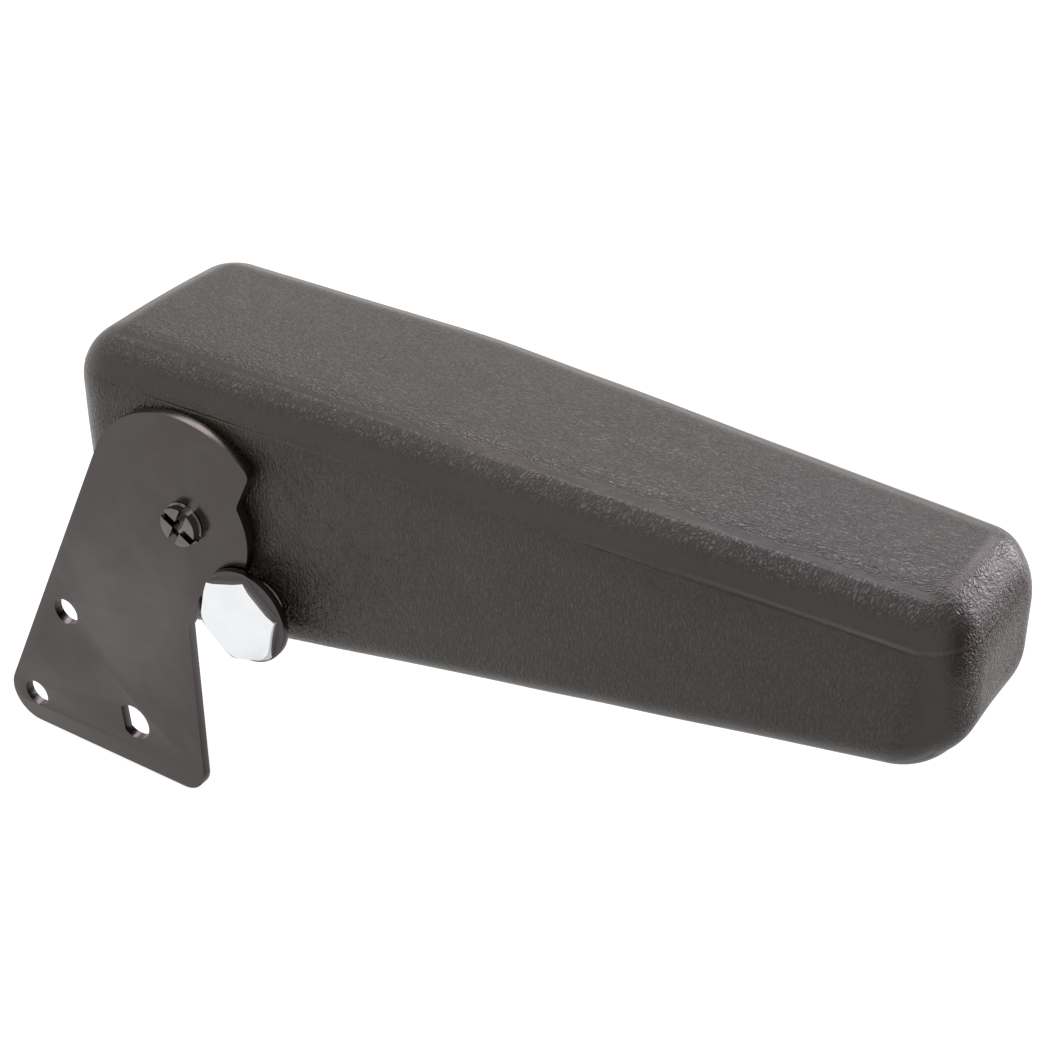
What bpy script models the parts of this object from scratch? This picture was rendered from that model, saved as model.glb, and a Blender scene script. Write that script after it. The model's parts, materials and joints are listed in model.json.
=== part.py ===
"""Flip-up armrest for a utility seat: a foam pad on a steel armature, turning on a pivot pin fixed
to a steel side bracket, with a hex-headed eccentric stop beside the bracket's cam edge.

Frame: origin on the bracket's outer face, midway between its two round mounting holes, +X towards
the front of the pad, +Y from the bracket into the pad, +Z up.  Dimensions are in millimetres and are
written about the pivot axis; the last step moves the assembly to the frame above.
Angles are in degrees from +X towards +Z.
"""
import math

import bmesh
import bpy
from mathutils import Matrix, Vector

MM = 0.001
COLLECTION = "armrest_pad_assembly"
GAP = 0.3                      # clearance between neighbouring solids
OVERCUT = 2.0                  # how far most cutters run past the piece they cut
EMPTY_SIZE = 20.0
SHARP_ANGLE = 35.0

# ---- bracket plate (XZ outline, thickness along Y) ----
PLATE_T = 3.0
PLATE_EDGE = 0.25              # broken edge
HEAD_R = 33.9                  # round head about the pivot
TIP_ANGLE = 46.0               # where the head's arc ends, at the tip above the notch
TIP_R = 2.8
NOTCH_DIR = (0.425, 0.905)     # direction of the notch's flank
NOTCH_FILLET = 2.5
LOBE_R = 22.4                  # cam track the stop sleeve passes along
SCOOP_FILLET = 6.0
SCOOP_TOP = (4.3, -19.3)       # a point on the lower stop flank
SCOOP_END = (1.0, -30.8)       # its lower end
CORNER_FRONT = (-10.3, -90.8, 8.0)     # x, z, radius
CORNER_REAR = (-69.2, -87.5, 10.0)
LEG_FRONT_X = CORNER_FRONT[0] + CORNER_FRONT[2]
LEG_FRONT_TOP_Z = -36.8
MOUNT_HOLE_R = 4.5
MOUNT_HOLES = ((-51.4, -49.4), (-69.2, -87.0))
D_HOLE_AT = (-28.7, -81.8)
D_HOLE_R = 6.0
D_HOLE_FLAT = 4.3              # centre to flat
D_HOLE_ANGLE = 185.0           # direction of the flat's normal

# ---- pivot pin and the stack on its threaded end ----
PIN_R = 6.0
PIN_OUT = 3.0                  # how far the slotted end stands out of the bracket
PIN_OUT_CHAMFER = 0.5
PIN_SHOULDER_Y = 61.6
PIN_THREAD_R = 5.0
PIN_END_Y = 76.9
PIN_END_CHAMFER = 0.8
SLOT_W = 2.6
SLOT_DEPTH = 3.6
SLOT_ANGLES = (64.0, 148.0)
THREAD_BORE_R = PIN_THREAD_R + GAP
STACK_WASHER_T = 1.4
THRUST_WASHER_R = 10.5
NUT_WASHER_R = 9.8
WASHER_CHAMFER = 0.2
DISC_R, DISC_T, DISC_RISE = 10.0, 0.9, 0.8
NUT_AF, NUT_H = 17.0, 6.0      # across flats, height

# ---- bearings ----
WEAR_R, WEAR_IN_R = 15.0, 6.4
WEAR_Y = (PLATE_T + GAP, PLATE_T + GAP + 1.0)
TUBE_R, TUBE_IN_R, TUBE_CHAMFER = 11.0, 9.0, 0.4
TUBE_Y = (6.1, 60.0)
BUSH_R, BUSH_IN_R = TUBE_IN_R - GAP, PIN_R + GAP
BUSH_FLANGE_R, BUSH_FLANGE_T, BUSH_LEN = 11.6, 1.2, 15.0
BUSH_SEAT_GAP = 0.2            # between tube end and bush flange

# ---- stop ----
STOP_ORBIT_R = 30.8            # stop axis from the pivot axis
STOP_ANGLE = -47.0             # its direction at rest
STOP_AT = (STOP_ORBIT_R * math.cos(math.radians(STOP_ANGLE)),
           STOP_ORBIT_R * math.sin(math.radians(STOP_ANGLE)))
STOP_STEPS = 32                # segments round the stud and the holes for it
HEX_AF, HEX_T, HEX_TWIST = 24.0, 2.9, 17.5
HEX_FRONT_Y = -5.8
HEX_BACK_Y = HEX_FRONT_Y + HEX_T
HEX_FORM_STEPS = 96
STUD_R = 4.0
STUD_END_Y = 26.5
STUD_CHAMFER = 0.6
STUD_OVERLAP = 1.2             # how far the stud is sunk into the hex head
STUD_BORE_R = STUD_R + GAP
STOP_WASHER_R, STOP_WASHER_CHAMFER, STOP_WASHER_STEPS = 14.5, 0.25, 72
STOP_WASHER_Y = (HEX_BACK_Y + 0.05, -0.45)
SLEEVE_R, SLEEVE_ECC, SLEEVE_CHAMFER = 7.5, 0.8, 0.4
SLEEVE_Y = (-0.3, 4.7)
SLEEVE_BORE_Y = (-3.0, 8.0)
BOSS_R, BOSS_Y, BOSS_CHAMFER = 8.0, (5.0, 17.5), 0.3
LOCK_NUT_AF, LOCK_NUT_H = 13.0, 6.5

# ---- foam pad ----
PAD_Y0 = WEAR_Y[1] + GAP       # flat side next to the bracket
PAD_REAR_X, PAD_KINK_X, PAD_FRONT_X = -45.7, 58.1, 226.4
PAD_W_REAR, PAD_W_FRONT = 74.9, 58.3
PAD_TOP_REAR, PAD_TOP_FRONT = 45.6, 44.5
PAD_BOTTOM_REAR, PAD_BOTTOM_FRONT = -51.5, -3.6
PAD_FAR_Y = PAD_Y0 + PAD_W_REAR
R_TOP, R_BOTTOM_REAR, R_BOTTOM_FRONT, R_REAR = 16.5, 12.0, 15.5, 16.5
R_FRONT_SIDE, R_FRONT_TOP, R_FRONT_BOTTOM = 17.0, 15.5, 17.5
PAD_BEVEL_SEGMENTS = 5
PAD_TUBE_BORE_R = BUSH_FLANGE_R + 0.4
PAD_STOP_BORE_R = 9.3

# ---- armature ----
ARM_Y = (12.0, 15.0)           # steel plate buried in the foam
ARM_TIP = (182.0, 18.0, 9.0)   # x, z, radius
ARM_HEAD_R = 20.0
ARM_STOP_R = 11.0
SPREADER_X, SPREADER_Y, SPREADER_Z = (40.0, 176.0), (ARM_Y[1] + GAP, 47.0), (17.0, 19.5)
SPREADER_EDGE = 0.8
SPREADER_POCKET_OVERLAP = 0.5  # how far its pocket runs back into the armature plate's

# ---- far-side access ----
WELL_R, WELL_FLOOR_Y = 15.0, 60.3
CAP_R, CAP_LIP = 17.2, 1.4
CAP_PLUG_R, CAP_PLUG_IN_R = WELL_R - GAP, WELL_R - 2.2
CAP_PLUG_DEPTH, CAP_HOLLOW_DEPTH = 3.6, 0.4     # below the pad's far side

# ---- pose handles: name -> (x, z) of the joint's axis, and the pieces it carries ----
HANDLES = {
    "pivot_axis": ((0.0, 0.0), (
        "foam_pad", "armature_plate", "load_spreader", "pivot_tube", "bush_bracket_side",
        "bush_far_side", "wear_washer", "stop_boss", "access_cap")),
    "stop_axis": (STOP_AT, ("stop_bolt", "stop_washer", "stop_sleeve", "stop_lock_nut")),
}

# ------------------------------------------------------------------ scene
for old in list(bpy.data.objects):
    bpy.data.objects.remove(old, do_unlink=True)

parts = bpy.data.collections.new(COLLECTION)
cutters = bpy.data.collections.new(COLLECTION + "_cutters")
for collection in (parts, cutters):
    bpy.context.scene.collection.children.link(collection)


# ------------------------------------------------------------------ materials
def material(name, colour, roughness, metallic):
    mat = bpy.data.materials.new(name)
    mat.use_nodes = True
    inputs = mat.node_tree.nodes["Principled BSDF"].inputs
    inputs["Base Color"].default_value = (*colour, 1.0)
    inputs["Roughness"].default_value = roughness
    inputs["Metallic"].default_value = metallic
    return mat


foam = material("pad_foam_skin", colour=(0.055, 0.052, 0.050), roughness=0.55, metallic=0.0)
black_plate = material(
    "black_nickel_plate", colour=(0.11, 0.10, 0.10), roughness=0.22, metallic=1.0)
zinc = material("zinc_plated", colour=(0.80, 0.82, 0.84), roughness=0.28, metallic=1.0)
dark_steel = material("dark_steel", colour=(0.18, 0.17, 0.17), roughness=0.35, metallic=1.0)
bare_steel = material("bare_steel", colour=(0.45, 0.45, 0.46), roughness=0.45, metallic=1.0)
nylon = material("nylon", colour=(0.62, 0.60, 0.55), roughness=0.5, metallic=0.0)
black_plastic = material("black_plastic", colour=(0.02, 0.02, 0.02), roughness=0.4, metallic=0.0)
rubber = material("rubber", colour=(0.025, 0.025, 0.025), roughness=0.75, metallic=0.0)


# ------------------------------------------------------------------ solids
def add_object(name, mesh, location=(0.0, 0.0, 0.0), tilt_x=0.0, turn_y=0.0, mat=None):
    """Adds a mesh as a piece, or as a hidden cutter where no material is given."""
    ob = bpy.data.objects.new(name, mesh)
    ob.location = [c * MM for c in location]
    ob.rotation_euler = (math.radians(tilt_x), math.radians(turn_y), 0.0)
    if mat is None:
        cutters.objects.link(ob)
        ob.hide_render = True
        ob.display_type = "WIRE"
    else:
        parts.objects.link(ob)
        mesh.materials.append(mat)
    return ob


def finish_mesh(bm, name):
    mesh = bpy.data.meshes.new(name)
    bm.to_mesh(mesh)
    bm.free()
    return mesh


def turned(name, profile, at=(0.0, 0.0), steps=40, mat=None):
    """Turns (radius, y) points about an axis parallel to Y through at = (x, z).

    A profile that starts on the axis is an open line ending on the axis; any other is a closed
    loop.  Points are put in the order that turns the faces outwards.
    """
    closed = profile[0][0] > 0
    if closed:
        following = profile[1:] + profile[:1]
        area = sum(r0 * y1 - r1 * y0 for (r0, y0), (r1, y1) in zip(profile, following))
        backwards = area >= 0
    else:
        backwards = profile[0][1] < profile[-1][1]
    bm = bmesh.new()
    verts = [bm.verts.new((r * MM, 0.0, y * MM))
             for r, y in (reversed(profile) if backwards else profile)]
    for start, end in zip(verts, verts[1:]):
        bm.edges.new((start, end))
    if closed:
        bm.edges.new((verts[-1], verts[0]))
    ob = add_object(name, finish_mesh(bm, name), (at[0], 0.0, at[1]), tilt_x=-90.0, mat=mat)
    screw = ob.modifiers.new("turn", "SCREW")
    screw.angle = 2 * math.pi
    screw.screw_offset = 0.0
    screw.steps = steps
    screw.render_steps = steps
    screw.use_merge_vertices = True
    screw.merge_threshold = 0.00001
    screw.use_smooth_shade = True
    return ob


def section(inner, outer, y0, y1, chamfer=0.0):
    """(radius, y) section of a washer, or a rod if inner is 0, its outer edges chamfered."""
    if chamfer == 0:
        return [(inner, y0), (outer, y0), (outer, y1), (inner, y1)]
    return [(inner, y0), (outer - chamfer, y0), (outer, y0 + chamfer),
            (outer, y1 - chamfer), (outer - chamfer, y1), (inner, y1)]


def sheet(name, loops, y0, y1, mat=None):
    """Flat XZ outline with holes, from y0 to y1: a filled 2D curve turned into a welded mesh."""
    curve = bpy.data.curves.new(name, "CURVE")
    curve.dimensions = "2D"
    curve.fill_mode = "BOTH"
    curve.extrude = (y1 - y0) / 2 * MM
    for loop in loops:
        spline = curve.splines.new("POLY")
        spline.points.add(len(loop) - 1)
        for point, (x, z) in zip(spline.points, loop):
            point.co = (x * MM, z * MM, 0.0, 1.0)
        spline.use_cyclic_u = True
    outline = bpy.data.objects.new(name + "_outline", curve)
    bpy.context.scene.collection.objects.link(outline)
    depsgraph = bpy.context.evaluated_depsgraph_get()
    mesh = bpy.data.meshes.new_from_object(outline.evaluated_get(depsgraph))
    bpy.data.objects.remove(outline, do_unlink=True)
    mesh.name = name
    bm = bmesh.new()
    bm.from_mesh(mesh)
    bmesh.ops.remove_doubles(bm, verts=bm.verts, dist=0.000002)
    bmesh.ops.recalc_face_normals(bm, faces=bm.faces)
    bm.to_mesh(mesh)
    bm.free()
    return add_object(name, mesh, (0.0, (y0 + y1) / 2, 0.0), tilt_x=90.0, mat=mat)


def box(name, x_range, y_range, z_range, turn_y=0.0, mat=None):
    ranges = (x_range, y_range, z_range)
    bm = bmesh.new()
    bmesh.ops.create_cube(bm, size=1.0)
    bmesh.ops.scale(bm, vec=[(high - low) * MM for low, high in ranges], verts=bm.verts)
    centre = [(low + high) / 2 for low, high in ranges]
    return add_object(name, finish_mesh(bm, name), centre, turn_y=turn_y, mat=mat)


def hexagon(name, across_flats, y0, y1, at=(0.0, 0.0), twist=0.0, mat=None):
    """Hexagonal bar along Y with one corner at the angle twist."""
    bm = bmesh.new()
    radius = across_flats / math.sqrt(3) * MM
    bmesh.ops.create_cone(bm, cap_ends=True, segments=6, radius1=radius, radius2=radius,
                          depth=(y1 - y0) * MM)
    # the new bar has a corner on its local Y, so 30 degrees brings one onto X
    bmesh.ops.rotate(bm, verts=bm.verts, cent=(0, 0, 0),
                     matrix=Matrix.Rotation(math.radians(30.0 - twist), 3, "Z"))
    location = (at[0], (y0 + y1) / 2, at[1])
    return add_object(name, finish_mesh(bm, name), location, tilt_x=-90.0, mat=mat)


# ------------------------------------------------------------------ modifiers
def boolean(ob, tool, operation="DIFFERENCE"):
    modifier = ob.modifiers.new(operation.lower() + "_" + tool.name, "BOOLEAN")
    modifier.operation = operation
    modifier.solver = "EXACT"
    modifier.object = tool


def bore(ob, name, radius, y0, y1, at=(0.0, 0.0), steps=40):
    boolean(ob, turned(name, section(0.0, radius, y0, y1), at, steps))


def soften(ob, width, segments, angle):
    bevel = ob.modifiers.new("edge", "BEVEL")
    bevel.width = width * MM
    bevel.segments = segments
    bevel.limit_method = "ANGLE"
    bevel.angle_limit = math.radians(angle)
    bevel.use_clamp_overlap = True


# ------------------------------------------------------------------ outline geometry
def arc(x, z, radius, start, end, step=7.5):
    """Points along an arc, both ends included, at most step degrees apart."""
    count = max(2, int(math.ceil(abs(end - start) / step)))
    angles = [math.radians(start + (end - start) * i / count) for i in range(count + 1)]
    return [(x + radius * math.cos(a), z + radius * math.sin(a)) for a in angles]


def circle(x, z, radius, step):
    return arc(x, z, radius, 0.0, 360.0 - step, step)


def heading(vector):
    return math.degrees(math.atan2(vector.y, vector.x))


def polar(angle, radius):
    return Vector((math.cos(math.radians(angle)), math.sin(math.radians(angle)))) * radius


def tangent_normal(first, second):
    """Outward normal of the common tangent of two (x, z, radius) circles, going anticlockwise."""
    dx, dz = second[0] - first[0], second[1] - first[1]
    lean = math.asin((first[2] - second[2]) / math.hypot(dx, dz))
    return math.degrees(math.atan2(dz, dx)) - 90.0 + math.degrees(lean)


def lobe_fillet(direction, normal, flank_distance, radius):
    """Centre of the fillet between the lobe and a straight flank at flank_distance from the pivot."""
    offset = flank_distance + radius
    return normal * offset + direction * math.sqrt((LOBE_R + radius) ** 2 - offset ** 2)


# ------------------------------------------------------------------ bracket plate
def bracket_outline():
    """Clockwise, with +X right and +Z up, from the rear lower corner."""
    rear_normal = tangent_normal((0.0, 0.0, HEAD_R), CORNER_REAR) + 360.0
    bottom_normal = tangent_normal(CORNER_REAR, CORNER_FRONT)

    notch_dir = Vector(NOTCH_DIR).normalized()
    notch_normal = Vector((notch_dir.y, -notch_dir.x))
    tip = polar(TIP_ANGLE, HEAD_R - TIP_R)
    notch_distance = (tip + notch_normal * TIP_R).dot(notch_normal)
    notch = lobe_fillet(notch_dir, notch_normal, notch_distance, NOTCH_FILLET)

    scoop_dir = (Vector(SCOOP_END) - Vector(SCOOP_TOP)).normalized()
    scoop_normal = Vector((-scoop_dir.y, scoop_dir.x))
    scoop_distance = Vector(SCOOP_TOP).dot(scoop_normal)
    scoop = lobe_fillet(scoop_dir, scoop_normal, scoop_distance, SCOOP_FILLET)

    return [
        *arc(*CORNER_REAR, bottom_normal + 360.0, rear_normal, 9.0),
        *arc(0, 0, HEAD_R, rear_normal, TIP_ANGLE, 4.0),
        *arc(*tip, TIP_R, TIP_ANGLE, heading(notch_normal), 12.0)[1:],
        *arc(*notch, NOTCH_FILLET, heading(-notch_normal) % 360, heading(-notch) % 360, 10.0),
        *arc(0, 0, LOBE_R, heading(notch), heading(scoop), 5.0)[1:],
        *arc(*scoop, SCOOP_FILLET, heading(-scoop), heading(-scoop_normal) % 360, 10.0)[1:],
        SCOOP_END,
        (LEG_FRONT_X, LEG_FRONT_TOP_Z),
        *arc(*CORNER_FRONT, 0.0, bottom_normal, 9.0),
    ]


def build_bracket():
    half_flat = math.degrees(math.acos(D_HOLE_FLAT / D_HOLE_R))
    d_hole = arc(*D_HOLE_AT, D_HOLE_R, D_HOLE_ANGLE + half_flat,
                 D_HOLE_ANGLE + 360.0 - half_flat, 9.0)
    mount_holes = [circle(x, z, MOUNT_HOLE_R, 10.0) for x, z in MOUNT_HOLES]
    loops = [bracket_outline(), circle(0, 0, PIN_R + GAP, 7.5), *mount_holes, d_hole]
    plate = sheet("bracket_plate", loops, 0.0, PLATE_T, black_plate)
    soften(plate, PLATE_EDGE, segments=1, angle=60.0)


# ------------------------------------------------------------------ pivot group, fixed to the bracket
def build_pin():
    pin = turned("pivot_pin", [
        (0.0, -PIN_OUT), (PIN_R - PIN_OUT_CHAMFER, -PIN_OUT), (PIN_R, -PIN_OUT + PIN_OUT_CHAMFER),
        (PIN_R, PIN_SHOULDER_Y), (PIN_THREAD_R, PIN_SHOULDER_Y),
        (PIN_THREAD_R, PIN_END_Y - PIN_END_CHAMFER), (PIN_THREAD_R - PIN_END_CHAMFER, PIN_END_Y),
        (0.0, PIN_END_Y)], mat=dark_steel)
    half_length = PIN_R + OVERCUT
    for number, angle in enumerate(SLOT_ANGLES, 1):
        boolean(pin, box("pin_slot_%d" % number, (-half_length, half_length),
                         (-PIN_OUT - OVERCUT, -PIN_OUT + SLOT_DEPTH),
                         (-SLOT_W / 2, SLOT_W / 2), turn_y=-angle))


def stack_washer(name, radius, y, mat):
    turned(name, section(THREAD_BORE_R, radius, y, y + STACK_WASHER_T, WASHER_CHAMFER), mat=mat)


def disc_spring(name, bore_y, rim_y):
    turned(name, [(THREAD_BORE_R, bore_y), (DISC_R, rim_y), (DISC_R, rim_y + DISC_T),
                  (THREAD_BORE_R, bore_y + DISC_T)], mat=bare_steel)


def tension_nut(y):
    top = y + NUT_H
    nut = hexagon("tension_nut", NUT_AF, y, top, twist=30.0, mat=zinc)
    # cone that chamfers the corners at the nut's far end
    wide, narrow = NUT_AF / 2 + 2.4, NUT_AF / 2 - 0.4
    form = turned("tension_nut_form", [
        (0.0, y - 1), (wide, y - 1), (wide, top - 1.4), (narrow, top + 0.2), (0.0, top + 0.2)])
    boolean(nut, form, "INTERSECT")
    bore(nut, "tension_nut_bore", THREAD_BORE_R, y - OVERCUT, top + OVERCUT)


def build_pin_stack():
    """Washers, opposed disc springs and nut, in order from the pin's shoulder."""
    y = PIN_SHOULDER_Y + GAP
    stack_washer("thrust_washer", THRUST_WASHER_R, y, bare_steel)
    y += STACK_WASHER_T + GAP
    disc_spring("disc_spring_inner", bore_y=y + DISC_RISE, rim_y=y)
    y += DISC_T + DISC_RISE + GAP
    disc_spring("disc_spring_outer", bore_y=y, rim_y=y + DISC_RISE)
    y += DISC_T + DISC_RISE + GAP
    stack_washer("nut_washer", NUT_WASHER_R, y, zinc)
    y += STACK_WASHER_T + GAP
    tension_nut(y)


# ------------------------------------------------------------------ arm: bearings and tube
def bush(name, tube_end_y, outward):
    """Flanged bush in one end of the tube; outward is the Y sign pointing out of that end."""
    flange_in = tube_end_y + outward * BUSH_SEAT_GAP
    flange_out = flange_in + outward * BUSH_FLANGE_T
    inner_end = flange_out - outward * BUSH_LEN
    turned(name, [
        (BUSH_IN_R, flange_out), (BUSH_FLANGE_R, flange_out), (BUSH_FLANGE_R, flange_in),
        (BUSH_R, flange_in), (BUSH_R, inner_end), (BUSH_IN_R, inner_end)], mat=nylon)


def build_bearings():
    turned("wear_washer", section(WEAR_IN_R, WEAR_R, *WEAR_Y, WASHER_CHAMFER), mat=nylon)
    turned("pivot_tube", section(TUBE_IN_R, TUBE_R, *TUBE_Y, TUBE_CHAMFER), mat=bare_steel)
    bush("bush_bracket_side", TUBE_Y[0], outward=-1)
    bush("bush_far_side", TUBE_Y[1], outward=1)


# ------------------------------------------------------------------ armature in the foam
def armature_outline(grow=0.0):
    """Hull of the stop lobe, the far tip and the pivot head; grow offsets it outwards."""
    # anticlockwise, with +X right and +Z up
    circles = [(x, z, radius + grow)
               for x, z, radius in ((*STOP_AT, ARM_STOP_R), ARM_TIP, (0.0, 0.0, ARM_HEAD_R))]
    normals = [tangent_normal(circles[i], circles[(i + 1) % 3]) for i in range(3)]
    points = []
    for i in range(3):
        start, end = normals[i - 1], normals[i]
        while end < start:
            end += 360.0
        points += arc(*circles[i], start, end, 15.0)
    return points


def build_armature():
    loops = [armature_outline(), circle(0, 0, TUBE_R + GAP, 10.0),
             circle(*STOP_AT, BOSS_R + GAP, 15.0)]
    sheet("armature_plate", loops, *ARM_Y, bare_steel)
    spreader = box("load_spreader", SPREADER_X, SPREADER_Y, SPREADER_Z, mat=bare_steel)
    soften(spreader, SPREADER_EDGE, segments=2, angle=35.0)
    turned("stop_boss", section(STUD_BORE_R, BOSS_R, *BOSS_Y, BOSS_CHAMFER),
           STOP_AT, STOP_STEPS, bare_steel)


# ------------------------------------------------------------------ adjustable stop
def build_stop_bolt():
    bolt = hexagon("stop_bolt", HEX_AF, HEX_FRONT_Y, HEX_BACK_Y, STOP_AT, HEX_TWIST, zinc)
    # cone that chamfers the corners on the head's outer face
    narrow, wide = HEX_AF / 2 + 0.55, HEX_AF / 2 + 2.6
    form = turned("stop_bolt_form", [
        (0.0, HEX_FRONT_Y - 0.1), (narrow, HEX_FRONT_Y - 0.1), (wide, HEX_FRONT_Y + 1.05),
        (wide, HEX_BACK_Y + 1), (0.0, HEX_BACK_Y + 1)], STOP_AT, HEX_FORM_STEPS)
    boolean(bolt, form, "INTERSECT")
    stud_start = HEX_BACK_Y - STUD_OVERLAP
    stud = turned("stop_bolt_stud", [
        (0.0, stud_start), (STUD_R, stud_start), (STUD_R, STUD_END_Y - STUD_CHAMFER),
        (STUD_R - STUD_CHAMFER, STUD_END_Y), (0.0, STUD_END_Y)], STOP_AT, STOP_STEPS)
    boolean(bolt, stud, "UNION")


def build_stop_sleeve():
    """Sleeve set off the stop axis by SLEEVE_ECC, with its bore on the axis."""
    shift = polar(STOP_ANGLE, SLEEVE_ECC)
    sleeve = turned("stop_sleeve", section(0.0, SLEEVE_R, *SLEEVE_Y, SLEEVE_CHAMFER),
                    (STOP_AT[0] + shift.x, STOP_AT[1] + shift.y), mat=rubber)
    bore(sleeve, "stop_sleeve_bore", STUD_BORE_R, *SLEEVE_BORE_Y, STOP_AT, STOP_STEPS)


def build_stop():
    build_stop_bolt()
    turned("stop_washer",
           section(STUD_BORE_R, STOP_WASHER_R, *STOP_WASHER_Y, STOP_WASHER_CHAMFER),
           STOP_AT, STOP_WASHER_STEPS, black_plate)
    build_stop_sleeve()
    y0 = BOSS_Y[1] + GAP
    y1 = y0 + LOCK_NUT_H
    lock_nut = hexagon("stop_lock_nut", LOCK_NUT_AF, y0, y1, STOP_AT, mat=zinc)
    bore(lock_nut, "stop_lock_nut_bore", STUD_BORE_R, y0 - OVERCUT, y1 + OVERCUT,
         STOP_AT, STOP_STEPS)


# ------------------------------------------------------------------ foam pad
def pad_edge_radius(edge):
    """Mould radius of an edge of the pad's block, while it is still a cube from -1 to 1."""
    start, end = (vert.co for vert in edge.verts)
    middle, along = (start + end) / 2, end - start
    at_rear, at_front = middle.x < -0.9, middle.x > 0.9
    upper = middle.z > 0
    if abs(along.z) > 0.5:
        return R_REAR if at_rear else R_FRONT_SIDE if at_front else 0.0
    if abs(along.x) > 0.5:
        return R_TOP if upper else R_BOTTOM_REAR if middle.x < 0 else R_BOTTOM_FRONT
    if at_front:
        return R_FRONT_TOP if upper else R_FRONT_BOTTOM
    if at_rear:
        return R_TOP if upper else R_BOTTOM_REAR
    return 0.0


def along_pad(rear, front, x):
    """Value at x on the straight line from the pad's rear to its front."""
    return rear + (front - rear) * (x - PAD_REAR_X) / (PAD_FRONT_X - PAD_REAR_X)


def pad_block(widest):
    """Tapered block in two lengths, its edges weighted by radius / widest."""
    bm = bmesh.new()
    bmesh.ops.create_cube(bm, size=2.0)
    bmesh.ops.bisect_plane(bm, geom=bm.verts[:] + bm.edges[:] + bm.faces[:],
                           plane_co=(0, 0, 0), plane_no=(1, 0, 0))
    weight = bm.edges.layers.float.new("bevel_weight_edge")
    for edge in bm.edges:
        edge[weight] = pad_edge_radius(edge) / widest
    for vert in bm.verts:
        side_x, side_y, side_z = (round(c) for c in vert.co)
        x = (PAD_REAR_X, PAD_KINK_X, PAD_FRONT_X)[side_x + 1]
        width = PAD_W_FRONT if side_x > 0 else PAD_W_REAR
        y = PAD_Y0 if side_y < 0 else PAD_Y0 + width
        if side_z > 0:
            z = along_pad(PAD_TOP_REAR, PAD_TOP_FRONT, x)
        else:
            z = along_pad(PAD_BOTTOM_REAR, PAD_BOTTOM_FRONT, x)
        vert.co = (x * MM, y * MM, z * MM)
    return finish_mesh(bm, "foam_pad")


def build_pad():
    widest = max(R_TOP, R_BOTTOM_REAR, R_BOTTOM_FRONT, R_REAR,
                 R_FRONT_SIDE, R_FRONT_TOP, R_FRONT_BOTTOM)
    pad = add_object("foam_pad", pad_block(widest), mat=foam)
    bevel = pad.modifiers.new("mould_radius", "BEVEL")
    bevel.width = widest * MM
    bevel.segments = PAD_BEVEL_SEGMENTS
    bevel.limit_method = "WEIGHT"
    bevel.use_clamp_overlap = False

    # the tube bore and the well overlap, so they open into each other
    start = PAD_Y0 - OVERCUT
    bore(pad, "pad_tube_bore", PAD_TUBE_BORE_R, start, WELL_FLOOR_Y + 1)
    bore(pad, "pad_well", WELL_R, WELL_FLOOR_Y - 0.6, PAD_FAR_Y + 3)
    bore(pad, "pad_stop_bore", PAD_STOP_BORE_R, start, STUD_END_Y + OVERCUT, STOP_AT, STOP_STEPS)
    boolean(pad, sheet("pad_armature_pocket", [armature_outline(GAP)],
                       ARM_Y[0] - GAP, ARM_Y[1] + GAP))
    boolean(pad, box("pad_spreader_pocket", (SPREADER_X[0] - GAP, SPREADER_X[1] + GAP),
                     (ARM_Y[1] - SPREADER_POCKET_OVERLAP, SPREADER_Y[1] + GAP),
                     (SPREADER_Z[0] - GAP, SPREADER_Z[1] + GAP)))


def build_access_cap():
    """Domed-edge disc on the pad's far side, with a hollow plug that enters the well."""
    face_y, under_y = PAD_FAR_Y + CAP_LIP, PAD_FAR_Y + GAP
    plug_y, hollow_y = PAD_FAR_Y - CAP_PLUG_DEPTH, PAD_FAR_Y - CAP_HOLLOW_DEPTH
    turned("access_cap", [
        (0.0, face_y), (CAP_R - 3.0, face_y), (CAP_R - 0.8, face_y - 0.35), (CAP_R, under_y),
        (CAP_PLUG_R, under_y), (CAP_PLUG_R, plug_y), (CAP_PLUG_IN_R, plug_y),
        (CAP_PLUG_IN_R, hollow_y), (0.0, hollow_y)], mat=black_plastic)


# ------------------------------------------------------------------ handles and frame
def add_empty(name, x, z):
    empty = bpy.data.objects.new(name, None)
    empty.location = (x * MM, 0.0, z * MM)
    empty.empty_display_size = EMPTY_SIZE * MM
    parts.objects.link(empty)
    return empty


def add_handles():
    for name, (at, members) in HANDLES.items():
        handle = add_empty(name, *at)
        for member in members:
            ob = bpy.data.objects[member]
            ob.parent = handle
            ob.matrix_parent_inverse = Matrix.Translation(handle.location).inverted()
    bpy.data.objects["stop_axis"].parent = bpy.data.objects["pivot_axis"]


def move_to_frame():
    """Hangs everything on an empty that brings the mounting holes' midpoint to the origin."""
    (x0, z0), (x1, z1) = MOUNT_HOLES
    face = add_empty("mounting_face", -(x0 + x1) / 2, -(z0 + z1) / 2)
    for ob in [*parts.objects, *cutters.objects]:
        if ob.parent is None and ob is not face:
            ob.parent = face
    bpy.context.view_layer.update()


def shade_parts():
    """Smooth shading with sharp edges; turned pieces get theirs from the screw modifier."""
    for ob in parts.objects:
        if ob.type == "MESH" and ob.data.polygons:
            ob.data.shade_smooth()
            ob.data.set_sharp_from_angle(angle=math.radians(SHARP_ANGLE))


build_bracket()
build_pin()
build_pin_stack()
build_bearings()
build_armature()
build_stop()
build_pad()
build_access_cap()
add_handles()
move_to_frame()
shade_parts()
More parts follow.
